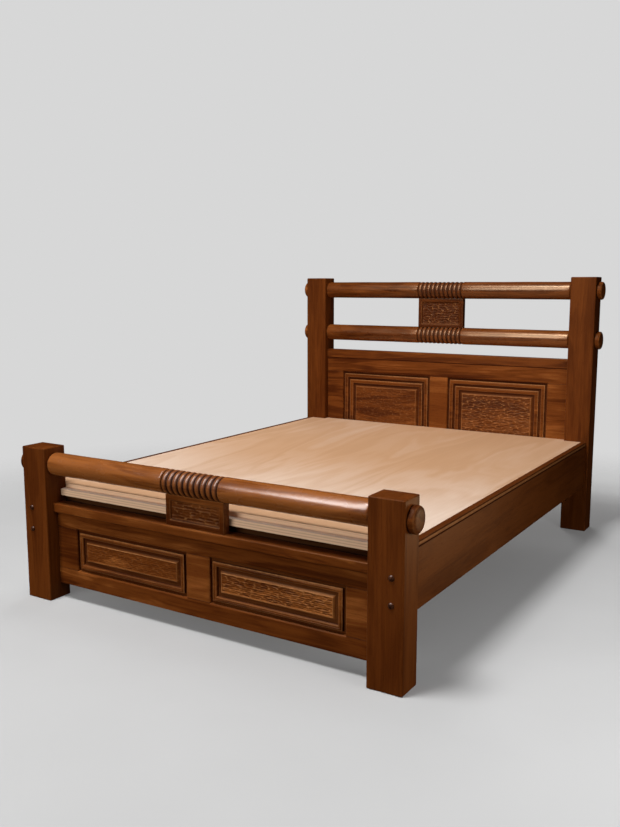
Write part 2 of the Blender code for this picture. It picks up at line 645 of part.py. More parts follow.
clear_scene()
STAINED = finish("stained_hardwood", (0.16, 0.052, 0.018), 0.35, 0.0)
PLYWOOD = finish("plywood", (0.55, 0.37, 0.22), 0.6, 0.0)
SOFTWOOD = finish("softwood", (0.50, 0.34, 0.18), 0.7, 0.0)
STEEL = finish("dark_steel", (0.05, 0.045, 0.04), 0.4, 1.0)
bpy.context.collection.objects.link(bpy.data.objects.new("bed_frame", None))
bed_frame()
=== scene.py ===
"""The looks of a bed frame with turned round rails and framed panels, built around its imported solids.

Metres, +Z up. The foot of the bed is at -Y and the head at +Y. Turned, moulded and carved pieces are
remade finer here and stand for their solids. The other solids stay and get their finishes.
"""
import math

import bmesh
import bpy
import numpy as np
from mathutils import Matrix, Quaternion, Vector


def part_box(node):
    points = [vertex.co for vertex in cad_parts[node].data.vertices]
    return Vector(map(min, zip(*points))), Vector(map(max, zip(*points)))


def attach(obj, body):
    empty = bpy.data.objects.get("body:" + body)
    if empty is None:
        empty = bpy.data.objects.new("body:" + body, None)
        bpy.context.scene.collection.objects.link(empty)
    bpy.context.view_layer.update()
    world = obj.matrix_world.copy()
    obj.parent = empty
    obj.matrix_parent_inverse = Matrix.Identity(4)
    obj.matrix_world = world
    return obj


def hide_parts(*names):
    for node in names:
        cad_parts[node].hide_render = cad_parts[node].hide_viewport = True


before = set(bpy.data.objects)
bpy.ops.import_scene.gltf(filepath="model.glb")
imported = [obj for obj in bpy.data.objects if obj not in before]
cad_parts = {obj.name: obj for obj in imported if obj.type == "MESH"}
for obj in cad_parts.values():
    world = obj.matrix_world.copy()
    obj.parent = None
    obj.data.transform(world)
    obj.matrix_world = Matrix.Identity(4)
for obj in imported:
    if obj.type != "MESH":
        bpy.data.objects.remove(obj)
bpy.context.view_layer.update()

BODY = "root"
SIDES = {"left": -1, "right": 1}
ENDS = {"foot": -1, "head": 1}
AXES = "XYZ"

# Sizes shared with the solids
FIT = 0.0003                      # gap between pieces that touch
GROOVE_LAP = 0.0097               # how far a panel reaches into its frame's grooves
PANEL_THICKNESS = 0.010
PANEL_MARGINS = {"foot": 0.039, "head": 0.074}     # from a frame's opening to the field of its panel
FIELD_RISE = 0.007
FIELD_BEVEL = 0.008
MOULDING_BANDS = {"foot": 0.019, "head": 0.022}    # width of a moulding's strips
MOULDING_ARRIS = 0.0055
MOULDING_CROWN = 0.0014           # how far a moulding swells between its edges
BEAD_COUNT = 10
BEAD_PITCH = 0.024
BEAD_DEPTH = 0.007
BEAD_SHARE = 0.44                 # half a bead, as a share of the pitch
RAIL_RADIUS = 0.043
TENON_RADIUS = 0.025
SHOULDER_ROUNDING = 0.010
SHOULDER_X = 0.6797               # where a round rail meets its posts
KNOB_ROUNDING = 0.009
KNOB_DOME = 0.002
REED_DROP = 0.004                 # from a side rail's top edge to its reed
REED_WIDTH = 0.015
BLOCK_BORDER = 0.018
BLOCK_BEVEL = 0.004
BLOCK_RECESS = 0.005
BLOCK_EDGE = 0.0016               # how far the edge round a block's face is eased back
BOLT_RADIUS = 0.005
BOLT_HEAD_HEIGHT = 0.005196

# Facets of the finer pieces
TURNED_SIDES = 96
BEAD_STEPS = 20
PLAIN_STEPS = 13                  # between a round rail's shoulder and its beads
ARC_STEPS = 8
CROWN_STEPS = 12
BOLT_SIDES = 32
KNOB_DOME_START = 0.12            # angle of a knob's first ring from its axis, in radians
BOLT_DOME_END = 1.5               # angle of a bolt's last ring from its rim, in radians
CARVING_STEP = (0.0022, 0.0011)   # grid of the carved fields, along and across the strokes
SHARP_ANGLE = math.radians(38)

# Marks on the finer pieces: below 0 for worn stain and painted highlights, above 0 for stain that gathers
# and painted shade
STAIN_AND_PAINTED_LIGHT_MARK = "stain_and_painted_light_mark"
# Painted shade in the valleys between beads, and where rails and knobs meet the posts
VALLEY_SHADE_MARK = 1.0
CREST_MARK = 0.20
# Painted shade on a round rail's shoulders beside the posts
SHOULDER_SHADE_MARK = 0.6
KNOB_RIM_MARK = -0.3
# Painted shade on the flats round fields and mouldings and in a block's recess
FLAT_SHADE_MARK = 0.70
# Painted highlights, with some wear, on the arrises of fields and blocks
ARRIS_HIGHLIGHT_MARK = -0.85
BLOCK_ARRIS_HIGHLIGHT_MARK = -0.45
# A moulding's marks: painted highlights on its arrises and painted shade in the quirks at its feet
OUTER_HIGHLIGHT_AND_SHADE_MARKS = (0.6, 0.1, -0.45, -0.62, -0.28, -0.05)   # over a moulding's outer edge, from outside
INNER_HIGHLIGHT_AND_SHADE_MARKS = (0, -0.14, -0.38, -0.05, 0.5, 0.8)       # over its inner edge, from the crown


# Finishes

class Value:
    """An output of a finish's nodes, used in Python expressions that add Math nodes."""

    def __init__(self, finish, socket):
        self.finish = finish
        self.socket = socket

    def __add__(self, other):
        return self.finish.maths("ADD", self, other)

    def __radd__(self, other):
        return self.finish.maths("ADD", other, self)

    def __sub__(self, other):
        return self.finish.maths("SUBTRACT", self, other)

    def __rsub__(self, other):
        return self.finish.maths("SUBTRACT", other, self)

    def __mul__(self, other):
        return self.finish.maths("MULTIPLY", self, other)

    def __rmul__(self, other):
        return self.finish.maths("MULTIPLY", other, self)

    def sine(self):
        return self.finish.maths("SINE", self)

    def size(self):
        """The value without its sign."""
        return self.finish.maths("ABSOLUTE", self)

    def off_mean(self):
        """How far a noise or a wave is from its mean."""
        return self - 0.5

    def wave(self, turn):
        """A wave between 0 and 1 that turns by so many radians while the value grows by 1."""
        return (self * turn).sine() * 0.5 + 0.5

    def between(self, low, high):
        """0 at low and 1 at high, smooth between them and level outside."""
        settings = {"interpolation_type": "SMOOTHSTEP"}
        values = {"Value": self, "From Min": low, "From Max": high, "To Min": 0.0, "To Max": 1.0}
        return self.finish.node("ShaderNodeMapRange", settings, values)

    def near(self, place, core, reach):
        """1 within a core distance of a place, fading to 0 at a reach."""
        return 1.0 - (self - place).size().between(core, reach)


class Finish:
    """A material, and the one method that adds its nodes."""

    def __init__(self, name):
        self.material = bpy.data.materials.new(name)
        self.material.use_nodes = True
        self.tree = self.material.node_tree
        self.tree.nodes.clear()

    def node(self, kind, settings=None, values=None, out=0):
        """Add a node, set it up, and give its sockets values or links."""
        made = self.tree.nodes.new(kind)
        for name, setting in (settings or {}).items():
            setattr(made, name, setting)
        for name, value in (values or {}).items():
            if isinstance(value, Value):
                self.tree.links.new(value.socket, made.inputs[name])
            else:
                made.inputs[name].default_value = value
        return Value(self, made.outputs[out]) if made.outputs else None

    def maths(self, operation, *values):
        return self.node("ShaderNodeMath", {"operation": operation}, dict(enumerate(values)))

    def vector(self, operation, *values, out="Vector"):
        return self.node("ShaderNodeVectorMath", {"operation": operation}, dict(enumerate(values)), out)

    def mix(self, share, first, second):
        """A colour between two."""
        colours = [c if isinstance(c, Value) else (*c, 1.0) for c in (first, second)]
        values = {0: share, 6: colours[0], 7: colours[1]}
        return self.node("ShaderNodeMix", {"data_type": "RGBA"}, values, out=2)

    def place(self):
        """Where a point is, in the bed's own frame."""
        return self.node("ShaderNodeTexCoord", out="Object")

    def along(self, axis):
        """One coordinate of a point."""
        return self.node("ShaderNodeSeparateXYZ", {}, {0: self.place()}, out=axis)

    def noise(self, place, counts, detail=2.0, roughness=0.5, distortion=0.0):
        """Noise from 0 to 1, counted so many times a metre along each axis."""
        values = {"Vector": self.vector("MULTIPLY", place, counts), "Scale": 1.0, "Detail": detail,
                  "Roughness": roughness, "Distortion": distortion}
        return self.node("ShaderNodeTexNoise", {}, values)

    def bump(self, height, strength, distance, **normal):
        values = {"Strength": strength, "Distance": distance, "Height": height}
        return self.node("ShaderNodeBump", {}, {**values, **normal})

    def surface(self, **values):
        """The shader, with sockets named in Python's way."""
        named = {name.replace("_", " ").title().replace("Ior", "IOR"): v for name, v in values.items()}
        shader = self.node("ShaderNodeBsdfPrincipled", {}, named, out="BSDF")
        self.node("ShaderNodeOutputMaterial", {}, {"Surface": shader})
        return self.material


# From one piece's place in the wood to the next, and the span that they stay in, along each axis
CUT_STRIDES = ((1.37, 7), (2.11, 5), (0.73, 6))


class Grain:
    """The grain of one piece of wood, cut at the place that its number gives."""

    def __init__(self, finish, along, number):
        self.finish = finish
        self.along = AXES.index(along)
        start = [number * stride % span for stride, span in CUT_STRIDES]
        self.spot = finish.vector("ADD", finish.place(), start)

    def noise(self, along, across, **settings):
        """Noise counted so many times a metre along and across the grain."""
        counts = [across] * 3
        counts[self.along] = along
        return self.finish.noise(self.spot, counts, **settings)


# Stained hardwood

STAIN_DARK = (0.064, 0.0128, 0.0020)
STAIN_MID = (0.152, 0.0390, 0.0064)
STAIN_LIGHT = (0.312, 0.0985, 0.0215)
STAIN_POOLED_AND_SHADE = (0.034, 0.0048, 0.0008)
STAIN_WORN_AND_HIGHLIGHT = (0.550, 0.2380, 0.0800)

FIGURE = {"along": 1.3, "across": 11.0, "detail": 3.0, "roughness": 0.55, "distortion": 0.5}
STREAKS = {"along": 3.5, "across": 130.0, "detail": 3.0, "roughness": 0.6}
PORES = {"along": 38.0, "across": 900.0, "detail": 1.0}
CLOUDS = {"along": 2.2, "across": 5.0, "distortion": 0.8}
SCUFFS = {"along": 9.0, "across": 45.0, "detail": 3.0, "roughness": 0.6}
SMEARS = {"along": 6.0, "across": 14.0, "detail": 3.0, "roughness": 0.6}
RUBBING_COUNTS = (60.0, 60.0, 60.0)
RING_TURNS = 46.0                 # radians of growth rings over the figure's range

# How far each pattern moves the tone
FIGURE_SHARE = 1.5
RING_SHARE = 0.20
CLOUD_SHARE = 0.8
STREAK_SHARE = 0.20
LIVELY_STREAK_SHARE = 0.45        # more of the streaks where the figure is lively
TONE_RANGE = (-0.15, 1.15)

PORE_RANGE = (0.60, 0.74)
PORE_STAIN = 0.45
EDGE_SOFTNESS = 0.0022
EDGE_BEND = (0.02, 0.25)
EDGE_WEAR = 0.45
BEVEL_SAMPLES = 4
SCUFF_RANGE = (0.30, 0.66)
RUBBING_RANGE = (0.36, 0.62)
# STAIN_WORN_AND_HIGHLIGHT paints highlights as well as wear, and STAIN_POOLED_AND_SHADE paints shade as
# well as stain in pores and grooves
WORN_AND_HIGHLIT_SHARE = 0.5                  # least of the worn colour where stain is thin
RUBBED_SHARE = 0.4                # more of it where rubbing adds to that
GATHERED_AND_SHADED_SHARE = 0.9
BEADED_MARK = 0.25                # marks from here up are those of beads and quirks
GRAIN_HEIGHTS = {"streaks": 0.5, "rings": 0.15, "pores": 0.7}
GRAIN_STRENGTH = 0.14
GRAIN_DEPTH = 0.0004

WARM_SHEEN = (1.0, 0.68, 0.42, 1.0)
PALE_SHEEN = (1.0, 0.95, 0.92, 1.0)
DULL = {"roughness": 0.44, "specular_ior_level": 0.09, "specular_tint": WARM_SHEEN}
SATIN = {"roughness": 0.36, "specular_ior_level": 0.15, "specular_tint": WARM_SHEEN}
WAXED = {"roughness": 0.28, "specular_ior_level": 0.75, "specular_tint": WARM_SHEEN}
POLISHED = {"roughness": 0.26, "coat_weight": 0.42, "coat_roughness": 0.24, "specular_ior_level": 0.46,
            "specular_tint": PALE_SHEEN}
SMEAR_RANGE = (0.30, 0.62)
BEADED_COAT_LOSS = 0.8
THIN_RANGE = (0.0, 0.12)
ROUGHENED_BY = {"smears": 0.24, "pores": 0.10, "gathered_and_shaded": 0.35, "worn_and_highlit": 0.12, "beads": 0.03}


def figured_stain(grain, tone, figured):
    """Stained wood's colour, its pores, and the height of its grain."""
    finish = grain.finish
    figure = grain.noise(**FIGURE)
    rings = figure.wave(RING_TURNS)
    streaks = grain.noise(**STREAKS)
    pores = grain.noise(**PORES).between(*PORE_RANGE)
    clouds = grain.noise(**CLOUDS)
    broad = figure.off_mean() * FIGURE_SHARE + rings.off_mean() * RING_SHARE
    broad = broad + clouds.off_mean() * CLOUD_SHARE
    lean = broad * figured + streaks.off_mean() * (STREAK_SHARE + LIVELY_STREAK_SHARE * figured)
    depth = (lean + tone).between(*TONE_RANGE)
    colour = finish.mix(depth.between(0.0, 0.5), STAIN_DARK, STAIN_MID)
    colour = finish.mix(depth.between(0.5, 1.0), colour, STAIN_LIGHT)
    colour = finish.mix(pores * PORE_STAIN, colour, STAIN_POOLED_AND_SHADE)
    height = streaks * GRAIN_HEIGHTS["streaks"] + rings * GRAIN_HEIGHTS["rings"]
    return colour, pores, height - pores * GRAIN_HEIGHTS["pores"]


def scuffed_edges(grain, colour, free_edges):
    """The colour with stain worn off the edges, and the normal that eases them."""
    finish = grain.finish
    easing = free_edges(finish) * EDGE_SOFTNESS if free_edges else EDGE_SOFTNESS
    eased = finish.node("ShaderNodeBevel", {"samples": BEVEL_SAMPLES}, {"Radius": easing})
    flat = finish.node("ShaderNodeNewGeometry", out="True Normal")
    bent = 1.0 - finish.vector("DOT_PRODUCT", eased, flat, out="Value")
    scuffs = grain.noise(**SCUFFS).between(*SCUFF_RANGE)
    return finish.mix(bent.between(*EDGE_BEND) * scuffs * EDGE_WEAR, colour, STAIN_WORN_AND_HIGHLIGHT), eased


def stained(name, along, number, tone, figured=1.0, lacquer=SATIN, pooled=None, rubbed=None,
            free_edges=None):
    """Dark red-brown stained hardwood under lacquer.

    Tone is from 0, dark, to 1, golden, and figured is how lively the figure is. pooled and
    rubbed are given the finish and say where stain gathers and shade is painted, and where
    stain is worn and highlights are painted, from 0 to 1, beside what a piece's own marks say. Free edges
    says in the same way where edges are eased, which is everywhere if it isn't given.
    """
    finish = Finish(name)
    grain = Grain(finish, along, number)
    colour, pores, height = figured_stain(grain, tone, figured)
    colour, eased = scuffed_edges(grain, colour, free_edges)
    mark = finish.node("ShaderNodeAttribute", {"attribute_name": STAIN_AND_PAINTED_LIGHT_MARK}, out="Fac")
    # Marks below 0 mix in worn stain and painted highlights; marks above 0 mix in stain that gathers and
    # painted shade
    worn_and_highlit = (0.0 - mark).between(0.0, 1.0)
    if rubbed:
        worn_and_highlit = worn_and_highlit + rubbed(finish)
    rubbing = finish.noise(finish.place(), RUBBING_COUNTS, detail=3.0).between(*RUBBING_RANGE)
    colour = finish.mix(worn_and_highlit * (WORN_AND_HIGHLIT_SHARE + rubbing * RUBBED_SHARE), colour, STAIN_WORN_AND_HIGHLIGHT)
    gathered_and_shaded = mark.between(0.0, 1.0) * GATHERED_AND_SHADED_SHARE
    if pooled:
        gathered_and_shaded = gathered_and_shaded + pooled(finish)
    colour = finish.mix(gathered_and_shaded, colour, STAIN_POOLED_AND_SHADE)
    smears = grain.noise(**SMEARS)
    beads = mark.between(0.0, BEADED_MARK)
    gloss = dict(lacquer)
    if "coat_weight" in gloss:
        coated = smears.between(*SMEAR_RANGE) * (1.0 - beads * BEADED_COAT_LOSS)
        gloss["coat_weight"] = coated * gloss["coat_weight"]
    roughness = gloss.pop("roughness") + smears.off_mean() * ROUGHENED_BY["smears"]
    roughness = roughness + pores * ROUGHENED_BY["pores"] + gathered_and_shaded * ROUGHENED_BY["gathered_and_shaded"]
    roughness = roughness + worn_and_highlit.between(*THIN_RANGE) * ROUGHENED_BY["worn_and_highlit"]
    roughness = roughness + beads * ROUGHENED_BY["beads"]
    normal = finish.bump(height, GRAIN_STRENGTH, GRAIN_DEPTH, Normal=eased)
    return finish.surface(base_color=colour, roughness=roughness, normal=normal, **gloss)


# Plywood

FACE_VENEER = (0.560, 0.313, 0.166)
FACE_VENEER_LIGHT = (0.800, 0.625, 0.505)
FACE_VENEER_DARK = (0.505, 0.290, 0.158)
PLY_PALE = (0.950, 0.640, 0.410)
PLY_BROWN = (0.600, 0.370, 0.220)
PLY_COUNT_PER_METRE = 115.0

PEEL = {"along": 0.7, "across": 4.2, "detail": 3.0, "distortion": 0.9}
VENEER_FIBRES = {"along": 9.0, "across": 210.0, "detail": 3.0, "roughness": 0.6}
VENEER_CLOUDS = {"along": 1.1, "across": 1.5}
FLECKS = {"along": 60.0, "across": 700.0, "detail": 1.0}
FLECK_RANGE = (0.63, 0.75)
FLECK_SHARE = 0.25
PEEL_TURNS = 38.0                 # radians of the peeled lines over the figure's range

# How far each pattern moves the veneer's tone
PEEL_SHARE = 0.6
PEELED_LINE_SHARE = 0.17
FIBRE_SHARE = 0.34
VENEER_CLOUD_SHARE = 0.6
VENEER_TONE = 0.5
DARK_RANGE = (0.0, 0.55)
LIGHT_RANGE = (0.40, 1.02)
LIGHT_LEAN = 0.45

# Painted light on the veneer: most towards the foot, more along the sides, and not under the foot rail,
# where a shadow is painted instead
PAINTED_LIGHT_AT_FOOT = 0.39
PAINTED_LIGHT_LOSS = 0.42              # from the foot to the head
PAINTED_LIGHT_AT_SIDES = 0.07
FOOT_TO_HEAD_Y = (-1.0, 0.2)
TOWARDS_SIDES_X = (0.3, 0.76)
UNDER_RAIL_Y = (-0.97, -0.80)
RAIL_SHADOW_DARKER = 0.6
RAIL_SHADOW_LESS_LIGHT = 0.7

WAVER_COUNTS = (7.0, 7.0, 60.0)
WAVER_HEIGHT = 0.0016
WAVER_MEAN = 0.4
WAVER_SHARE = 0.3
FRAYED_COUNTS = (160.0, 160.0, 420.0)
UPRIGHT_RANGE = (0.4, 0.7)        # how far up a face looks, from an edge to a board's face
VENEER_ROUGHNESS = 0.52
FIBRES_ROUGHER = 0.16
EDGES_ROUGHER = 0.2


def veneer(grain, fibres, rail_shadow_share):
    """The colour of a board's face, with painted light and the foot rail's painted shadow."""
    finish = grain.finish
    peel = grain.noise(**PEEL)
    lean = peel.off_mean() * PEEL_SHARE + peel.wave(PEEL_TURNS).off_mean() * PEELED_LINE_SHARE
    lean = lean + fibres.off_mean() * FIBRE_SHARE
    lean = lean + grain.noise(**VENEER_CLOUDS).off_mean() * VENEER_CLOUD_SHARE
    # Painted shadow of the foot rail, and painted light towards the foot and the sides
    rail_shadow = (1.0 - finish.along("Y").between(*UNDER_RAIL_Y)) * rail_shadow_share
    depth = lean + VENEER_TONE - rail_shadow * RAIL_SHADOW_DARKER
    colour = finish.mix(depth.between(*DARK_RANGE), FACE_VENEER_DARK, FACE_VENEER)
    painted_light = PAINTED_LIGHT_AT_FOOT - finish.along("Y").between(*FOOT_TO_HEAD_Y) * PAINTED_LIGHT_LOSS
    painted_light = painted_light + finish.along("X").size().between(*TOWARDS_SIDES_X) * PAINTED_LIGHT_AT_SIDES
    painted_light = painted_light - rail_shadow * RAIL_SHADOW_LESS_LIGHT
    light = lean * LIGHT_LEAN + VENEER_TONE + painted_light
    colour = finish.mix(light.between(*LIGHT_RANGE), colour, FACE_VENEER_LIGHT)
    flecks = grain.noise(**FLECKS).between(*FLECK_RANGE)
    return finish.mix(flecks * FLECK_SHARE, colour, PLY_BROWN)


def ply_edge(finish, ply_lines):
    """The colour of a board's edge."""
    waver = finish.noise(finish.place(), WAVER_COUNTS, detail=3.0)
    height = finish.along("Z") + waver.off_mean() * WAVER_HEIGHT
    plies = (height * (PLY_COUNT_PER_METRE * math.pi)).sine().size()
    lines = (1.0 - plies.between(0.0, 1.0)) * ply_lines
    return finish.mix(lines + (waver - WAVER_MEAN) * WAVER_SHARE, PLY_PALE, PLY_BROWN)


def plywood(name, number, ply_lines, rail_shadow_share):
    """Bare plywood: veneer with broad peeled figure on its faces, and ply lines along its edges.

    rail_shadow_share is how much of the foot rail's painted shadow the veneer takes, from 0 to 1.
    """
    finish = Finish(name)
    grain = Grain(finish, "Y", number)
    fibres = grain.noise(**VENEER_FIBRES)
    normal = finish.node("ShaderNodeNewGeometry", out="Normal")
    looks_up = finish.node("ShaderNodeSeparateXYZ", {}, {0: normal}, out="Z")
    upright = looks_up.size().between(*UPRIGHT_RANGE)
    colour = finish.mix(upright, ply_edge(finish, ply_lines), veneer(grain, fibres, rail_shadow_share))
    roughness = VENEER_ROUGHNESS + fibres * FIBRES_ROUGHER + (1.0 - upright) * EDGES_ROUGHER
    frayed = finish.noise(finish.place(), FRAYED_COUNTS)
    bump = finish.bump(fibres * upright + frayed * (1.0 - upright), strength=0.3, distance=0.0005)
    return finish.surface(base_color=colour, roughness=roughness, normal=bump, specular_ior_level=0.3)


# Softwood and steel

# Softwood darkened well below its own colour, as painted shade in the gaps under the deck
SHADED_PINE_EARLY = (0.050, 0.018, 0.006)
SHADED_PINE_LATE = (0.024, 0.007, 0.002)
PINE_FIGURE = {"along": 0.8, "across": 12.0, "distortion": 0.4}
PINE_FIBRES = {"along": 7.0, "across": 260.0, "detail": 3.0, "roughness": 0.6}
SAW_MARKS = {"along": 420.0, "across": 6.0, "detail": 1.0}
PINE_RING_TURNS = 70.0
LATE_SHARES = {"rings": 0.7, "fibres": 0.4}
LATE_RANGE = (0.45, 1.0)
SAWN_HEIGHTS = {"saw marks": 0.5, "rings": 0.3}
PINE_ROUGHNESS = 0.62
PINE_FIBRES_ROUGHER = 0.2


def sawn_softwood(name, along, number):
    """Sawn softwood with early and late wood, for the pieces under the deck, darkened as painted shade."""
    finish = Finish(name)
    grain = Grain(finish, along, number)
    rings = grain.noise(**PINE_FIGURE).wave(PINE_RING_TURNS)
    fibres = grain.noise(**PINE_FIBRES)
    late = rings * LATE_SHARES["rings"] + fibres * LATE_SHARES["fibres"]
    colour = finish.mix(late.between(*LATE_RANGE), SHADED_PINE_EARLY, SHADED_PINE_LATE)
    height = fibres + grain.noise(**SAW_MARKS) * SAWN_HEIGHTS["saw marks"] + rings * SAWN_HEIGHTS["rings"]
    bump = finish.bump(height, strength=0.4, distance=0.0006)
    roughness = PINE_ROUGHNESS + fibres * PINE_FIBRES_ROUGHER
    return finish.surface(base_color=colour, roughness=roughness, normal=bump, specular_ior_level=0.08)


STEEL_DARK = (0.030, 0.009, 0.004)
STEEL_BROWN = (0.120, 0.040, 0.017)
STEEL_STRIDE = (0.9, 0.4, 0.0)    # from one piece's place in the steel to the next
BLOTCH_COUNTS = (160.0, 160.0, 160.0)
BLOTCH_RANGE = (0.4, 0.7)
PIT_COUNTS = (1500.0, 1500.0, 1500.0)
STEEL_ROUGHNESS = 0.24
BLOTCHES_ROUGHER = 0.18


def dark_steel(name, number):
    """Browned steel with faint rust and fine pits."""
    finish = Finish(name)
    spot = finish.vector("ADD", finish.place(), [number * stride for stride in STEEL_STRIDE])
    blotches = finish.noise(spot, BLOTCH_COUNTS, detail=4.0, roughness=0.6)
    colour = finish.mix(blotches.between(*BLOTCH_RANGE), STEEL_DARK, STEEL_BROWN)
    bump = finish.bump(finish.noise(spot, PIT_COUNTS), strength=0.2, distance=0.0003)
    roughness = STEEL_ROUGHNESS + blotches * BLOTCHES_ROUGHER
    return finish.surface(base_color=colour, roughness=roughness, normal=bump, metallic=0.2,
                          specular_ior_level=0.45)


# Making pieces

def mesh_object(name, form, material):
    """Put a form into the scene as an object with a finish."""
    mesh = bpy.data.meshes.new(name)
    form.to_mesh(mesh)
    form.free()
    mesh.materials.append(material)
    made = bpy.data.objects.new(name, mesh)
    bpy.context.scene.collection.objects.link(made)
    return made


def piece(way, node, form, material):
    """Make a turned, carved or moulded piece that rides with the bed and stands for its solid."""
    bmesh.ops.recalc_face_normals(form, faces=form.faces)
    made = mesh_object(f"{way}_{node}", form, material)
    made.data.shade_smooth()
    made.data.set_sharp_from_angle(angle=SHARP_ANGLE)
    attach(made, BODY)
    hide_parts(node)


def arc(centre, radius, start, end, steps=ARC_STEPS):
    """Points on an arc, with angles in degrees."""
    angles = [math.radians(start + (end - start) * step / steps) for step in range(steps + 1)]
    return [(centre[0] + radius * math.cos(a), centre[1] + radius * math.sin(a)) for a in angles]


def marked(points, marks):
    """Points with marks added, read off evenly along a short list."""
    places = np.linspace(0, 1, len(points))
    read = np.interp(places, np.linspace(0, 1, len(marks)), marks)
    return [(a, b, mark) for (a, b), mark in zip(points, read)]


def turned_form(profile, centre, along, sides):
    """A profile of (distance, radius, mark) turned round a line through a centre, with closed ends."""
    lane = Vector(along)
    out = Vector((0, 0, 1))
    over = lane.cross(out)
    form = bmesh.new()
    stain = form.verts.layers.float.new(STAIN_AND_PAINTED_LIGHT_MARK)
    turns = [math.tau * side / sides for side in range(sides)]
    rings = []
    for distance, radius, mark in profile:
        heart = Vector(centre) + lane * distance
        ring = [form.verts.new(heart + radius * (math.cos(a) * out + math.sin(a) * over)) for a in turns]
        for vert in ring:
            vert[stain] = mark
        rings.append(ring)
    for ring, following in zip(rings, rings[1:]):
        for side in range(sides):
            form.faces.new((ring[side - 1], ring[side], following[side], following[side - 1]))
    for ring, (distance, _, mark) in ((rings[0], profile[0]), (rings[-1], profile[-1])):
        heart = form.verts.new(Vector(centre) + lane * distance)
        heart[stain] = mark
        for side in range(sides):
            form.faces.new((ring[side - 1], ring[side], heart))
    return form


def mitred_ring(low, high, back, profile):
    """A profile of (inset, rise, mark) carried round a rectangle with mitred corners."""
    form = bmesh.new()
    stain = form.verts.layers.float.new(STAIN_AND_PAINTED_LIGHT_MARK)
    loops = []
    for inward, rise, mark in profile:
        x0, z0, x1, z1 = low[0] + inward, low[1] + inward, high[0] - inward, high[1] - inward
        loop = [form.verts.new((x, back - rise, z)) for x, z in ((x0, z0), (x1, z0), (x1, z1), (x0, z1))]
        for vert in loop:
            vert[stain] = mark
        loops.append(loop)
    for loop, following in zip(loops, loops[1:] + loops[:1]):
        for n in range(4):
            form.faces.new((loop[n - 1], loop[n], following[n], following[n - 1]))
    return form


# Carving

# Strokes of a gouge: pitch of their rows, their usual length, and their depth
CARVING = {"foot_panel_left": {"pitch": 0.0068, "stroke": 0.024, "depth": 0.0016},
           "foot_panel_right": {"pitch": 0.0068, "stroke": 0.026, "depth": 0.0026},
           "head_panel_left": {"pitch": 0.0072, "stroke": 0.026, "depth": 0.0015},
           "head_panel_right": {"pitch": 0.0078, "stroke": 0.032, "depth": 0.0027},
           "foot_block": {"pitch": 0.0098, "stroke": 0.032, "depth": 0.0034},
           "head_block": {"pitch": 0.0086, "stroke": 0.026, "depth": 0.0032}}
CARVING_FADE = 0.004              # plain edge round a carved field
# Gouge strokes get painted shade in their hollows and painted highlights on their crests
HALF_CUT = 0.4                    # share of a gouge's depth where stain neither gathers nor is thin
GOUGE_SHADE_AND_HIGHLIGHT_STRENGTH = {"left": 0.65, "right": 1.2, "block": 1.05}    # how far strokes show in the stain

# How the strokes vary, as shares of the usual stroke, pitch and depth
STROKE_LENGTHS = (0.7, 1.5)
STROKE_WIDTHS = (1.05, 1.40)
STROKE_LEAN = 0.10
STROKE_BEND = 0.03
STROKE_SHIFT = 0.175
STROKE_DEPTHS = (0.55, 1.0)
STROKE_STEPS = (0.75, 1.0)        # to the next stroke in the row, as a share of this one's length
STROKE_REACH = 3                  # rows on either side that a bent stroke may touch


def lines_across(half, rim, step):
    """Grid lines across a face: set distances in from both edges, and even steps between them."""
    inner = half - rim[-1]
    count = max(2, round(2 * inner / step))
    edge = np.array(rim[:-1]) - half
    return np.concatenate([edge, np.linspace(-inner, inner, count + 1), -edge[::-1]])


def gouged(across, up, seed, pitch, stroke, depth):
    """Depths of a field covered with rows of long wavy strokes of a gouge, over grid lines."""
    draw = np.random.RandomState(seed)
    cut = np.zeros((len(across), len(up)))
    row = up[0] - pitch
    while row < up[-1] + pitch:
        at = across[0] - stroke * draw.rand()
        while at < across[-1] + stroke:
            length = stroke * draw.uniform(*STROKE_LENGTHS)
            width = pitch * draw.uniform(*STROKE_WIDTHS)
            lean = draw.uniform(-STROKE_LEAN, STROKE_LEAN)
            bend = draw.uniform(-STROKE_BEND, STROKE_BEND) / pitch
            middle = row + pitch * draw.uniform(-STROKE_SHIFT, STROKE_SHIFT)
            deep = depth * draw.uniform(*STROKE_DEPTHS)
            i = np.searchsorted(across, (at - length, at + length))
            j = np.searchsorted(up, (middle - STROKE_REACH * pitch, middle + STROKE_REACH * pitch))
            u = across[i[0]:i[1], None] - at
            v = up[None, j[0]:j[1]] - middle - lean * u - bend * u * u
            scoop = deep * (1 - (2 * u / length) ** 4 - (2 * v / width) ** 2)
            part = cut[i[0]:i[1], j[0]:j[1]]
            np.maximum(part, scoop, out=part)
            at += length * draw.uniform(*STROKE_STEPS)
        row += pitch
    return cut


def close_behind(form, edges, floor_path, roof_path):
    """Close a face whose edges run along its bottom, up its right, along its top and down its left."""
    left = edges[0][0].co.x
    right = edges[1][0].co.x
    floor_left, floor_right, roof_left, roof_right = (
        [form.verts.new((x, y, z)) for y, z in path]
        for path in (floor_path, roof_path) for x in (left, right))
    form.faces.new([*edges[0], floor_right[0], floor_left[0]])
    form.faces.new([*edges[2], roof_left[0], roof_right[0]])
    for a, b in ((floor_left, floor_right), (roof_left, roof_right)):
        for k in range(len(a) - 1):
            form.faces.new((a[k], b[k], b[k + 1], a[k + 1]))
    form.faces.new([*edges[1], *roof_right, *reversed(floor_right)])
    form.faces.new([*edges[3], *floor_left, *reversed(roof_left)])
    form.faces.new((floor_left[-1], floor_right[-1], roof_right[-1], roof_left[-1]))


